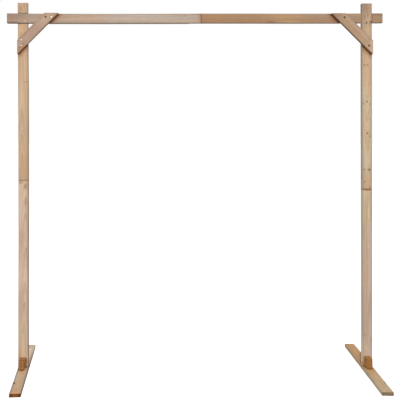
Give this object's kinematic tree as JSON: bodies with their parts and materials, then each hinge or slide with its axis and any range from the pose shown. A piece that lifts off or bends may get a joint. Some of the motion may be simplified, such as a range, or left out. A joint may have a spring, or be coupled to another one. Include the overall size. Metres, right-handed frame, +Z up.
{
  "type": "wooden garden arch",
  "caption": "Free-standing square timber arch with half-lapped posts and beam, corner braces and flat board feet, for dressing with flowers, drapes or balloons.",
  "frame": {"origin": "on the ground, midway between the posts and between the ends of the feet", "axes": "+X along the beam to the viewer's right, -Y towards the front with the braces, +Z up"},
  "size_m": [2.2, 0.8522, 2.15],
  "materials": {
    "post_timber": "planed softwood, weathered, no coating",
    "pale_beam_timber": "planed softwood, greyed, no coating",
    "brown_beam_timber": "planed softwood, brown, no coating",
    "brace_timber": "planed softwood, no coating",
    "foot_timber": "planed softwood, no coating",
    "block_timber": "sawn softwood, brown end grain",
    "zinc_screw": "zinc plated, dulled"
  },
  "bodies": {
    "root": {"left_foot": "foot_timber", "right_foot": "foot_timber", "left_front_block": "block_timber", "left_rear_block": "block_timber", "right_front_block": "block_timber", "right_rear_block": "block_timber", "left_post_lower": "post_timber", "left_post_upper": "post_timber", "right_post_lower": "post_timber", "right_post_upper": "post_timber", "beam_left": "pale_beam_timber", "beam_right": "brown_beam_timber", "left_brace": "brace_timber", "right_brace": "brace_timber", "left_brace_lower_screw_1": "zinc_screw", "left_brace_lower_screw_2": "zinc_screw", "left_brace_upper_screw_1": "zinc_screw", "left_brace_upper_screw_2": "zinc_screw", "right_brace_lower_screw_1": "zinc_screw", "right_brace_lower_screw_2": "zinc_screw", "right_brace_upper_screw_1": "zinc_screw", "right_brace_upper_screw_2": "zinc_screw", "left_crossing_screw_1": "zinc_screw", "left_crossing_screw_2": "zinc_screw", "right_crossing_screw_1": "zinc_screw", "right_crossing_screw_2": "zinc_screw", "left_post_lap_screw_1": "zinc_screw", "left_post_lap_screw_2": "zinc_screw", "right_post_lap_screw_1": "zinc_screw", "right_post_lap_screw_2": "zinc_screw", "beam_lap_screw_1": "zinc_screw", "beam_lap_screw_2": "zinc_screw", "left_foot_post_screw_1": "zinc_screw", "left_foot_post_screw_2": "zinc_screw", "right_foot_post_screw_1": "zinc_screw", "right_foot_post_screw_2": "zinc_screw", "left_front_block_screw": "zinc_screw", "left_rear_block_screw": "zinc_screw", "right_front_block_screw": "zinc_screw", "right_rear_block_screw": "zinc_screw"}
  },
  "joints": []
}
